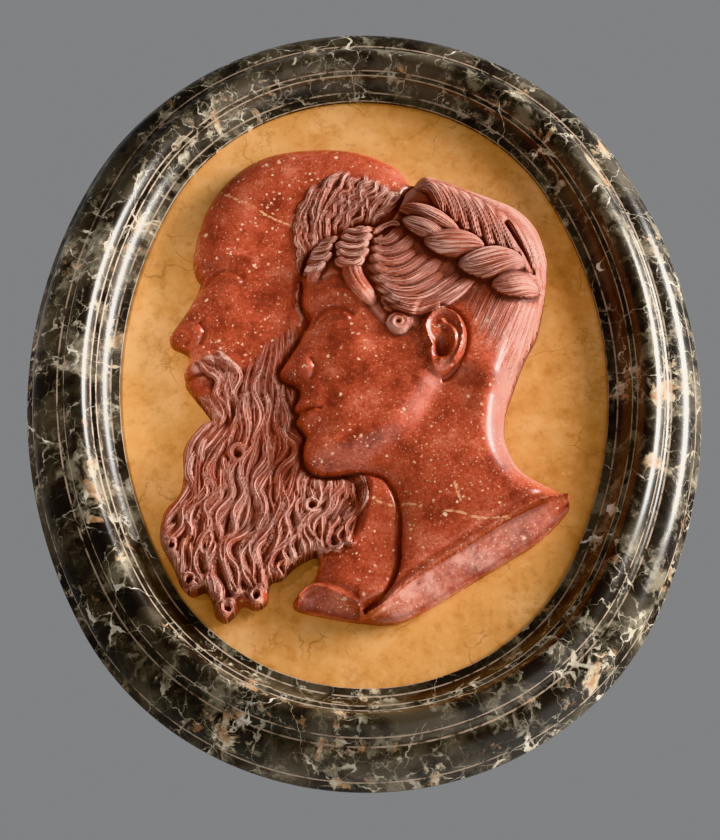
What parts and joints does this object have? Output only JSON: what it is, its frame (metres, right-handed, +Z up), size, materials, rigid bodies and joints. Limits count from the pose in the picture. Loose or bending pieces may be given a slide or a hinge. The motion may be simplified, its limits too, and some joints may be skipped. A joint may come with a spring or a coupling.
{
  "type": "oval portrait medallion",
  "caption": "Oval wall medallion: carved red porphyry profile portraits on a yellow marble ground, set in a moulded black marble frame.",
  "frame": {"origin": "middle of the oval on the flat back that rests against the wall", "axes": "+Y out of the back, into the wall; +Z up; the carved face looks along -Y"},
  "size_m": [0.5, 0.0622, 0.624],
  "materials": {
    "black_marble": "polished, black with gold, cream and grey veins",
    "yellow_marble": "honed ochre yellow with thin brown veins",
    "red_porphyry": "polished flesh with pale crystals, hair left matt"
  },
  "bodies": {
    "root": {"moulded_frame": "black_marble", "ground_slab": "yellow_marble", "porphyry_relief": "red_porphyry"}
  },
  "joints": []
}
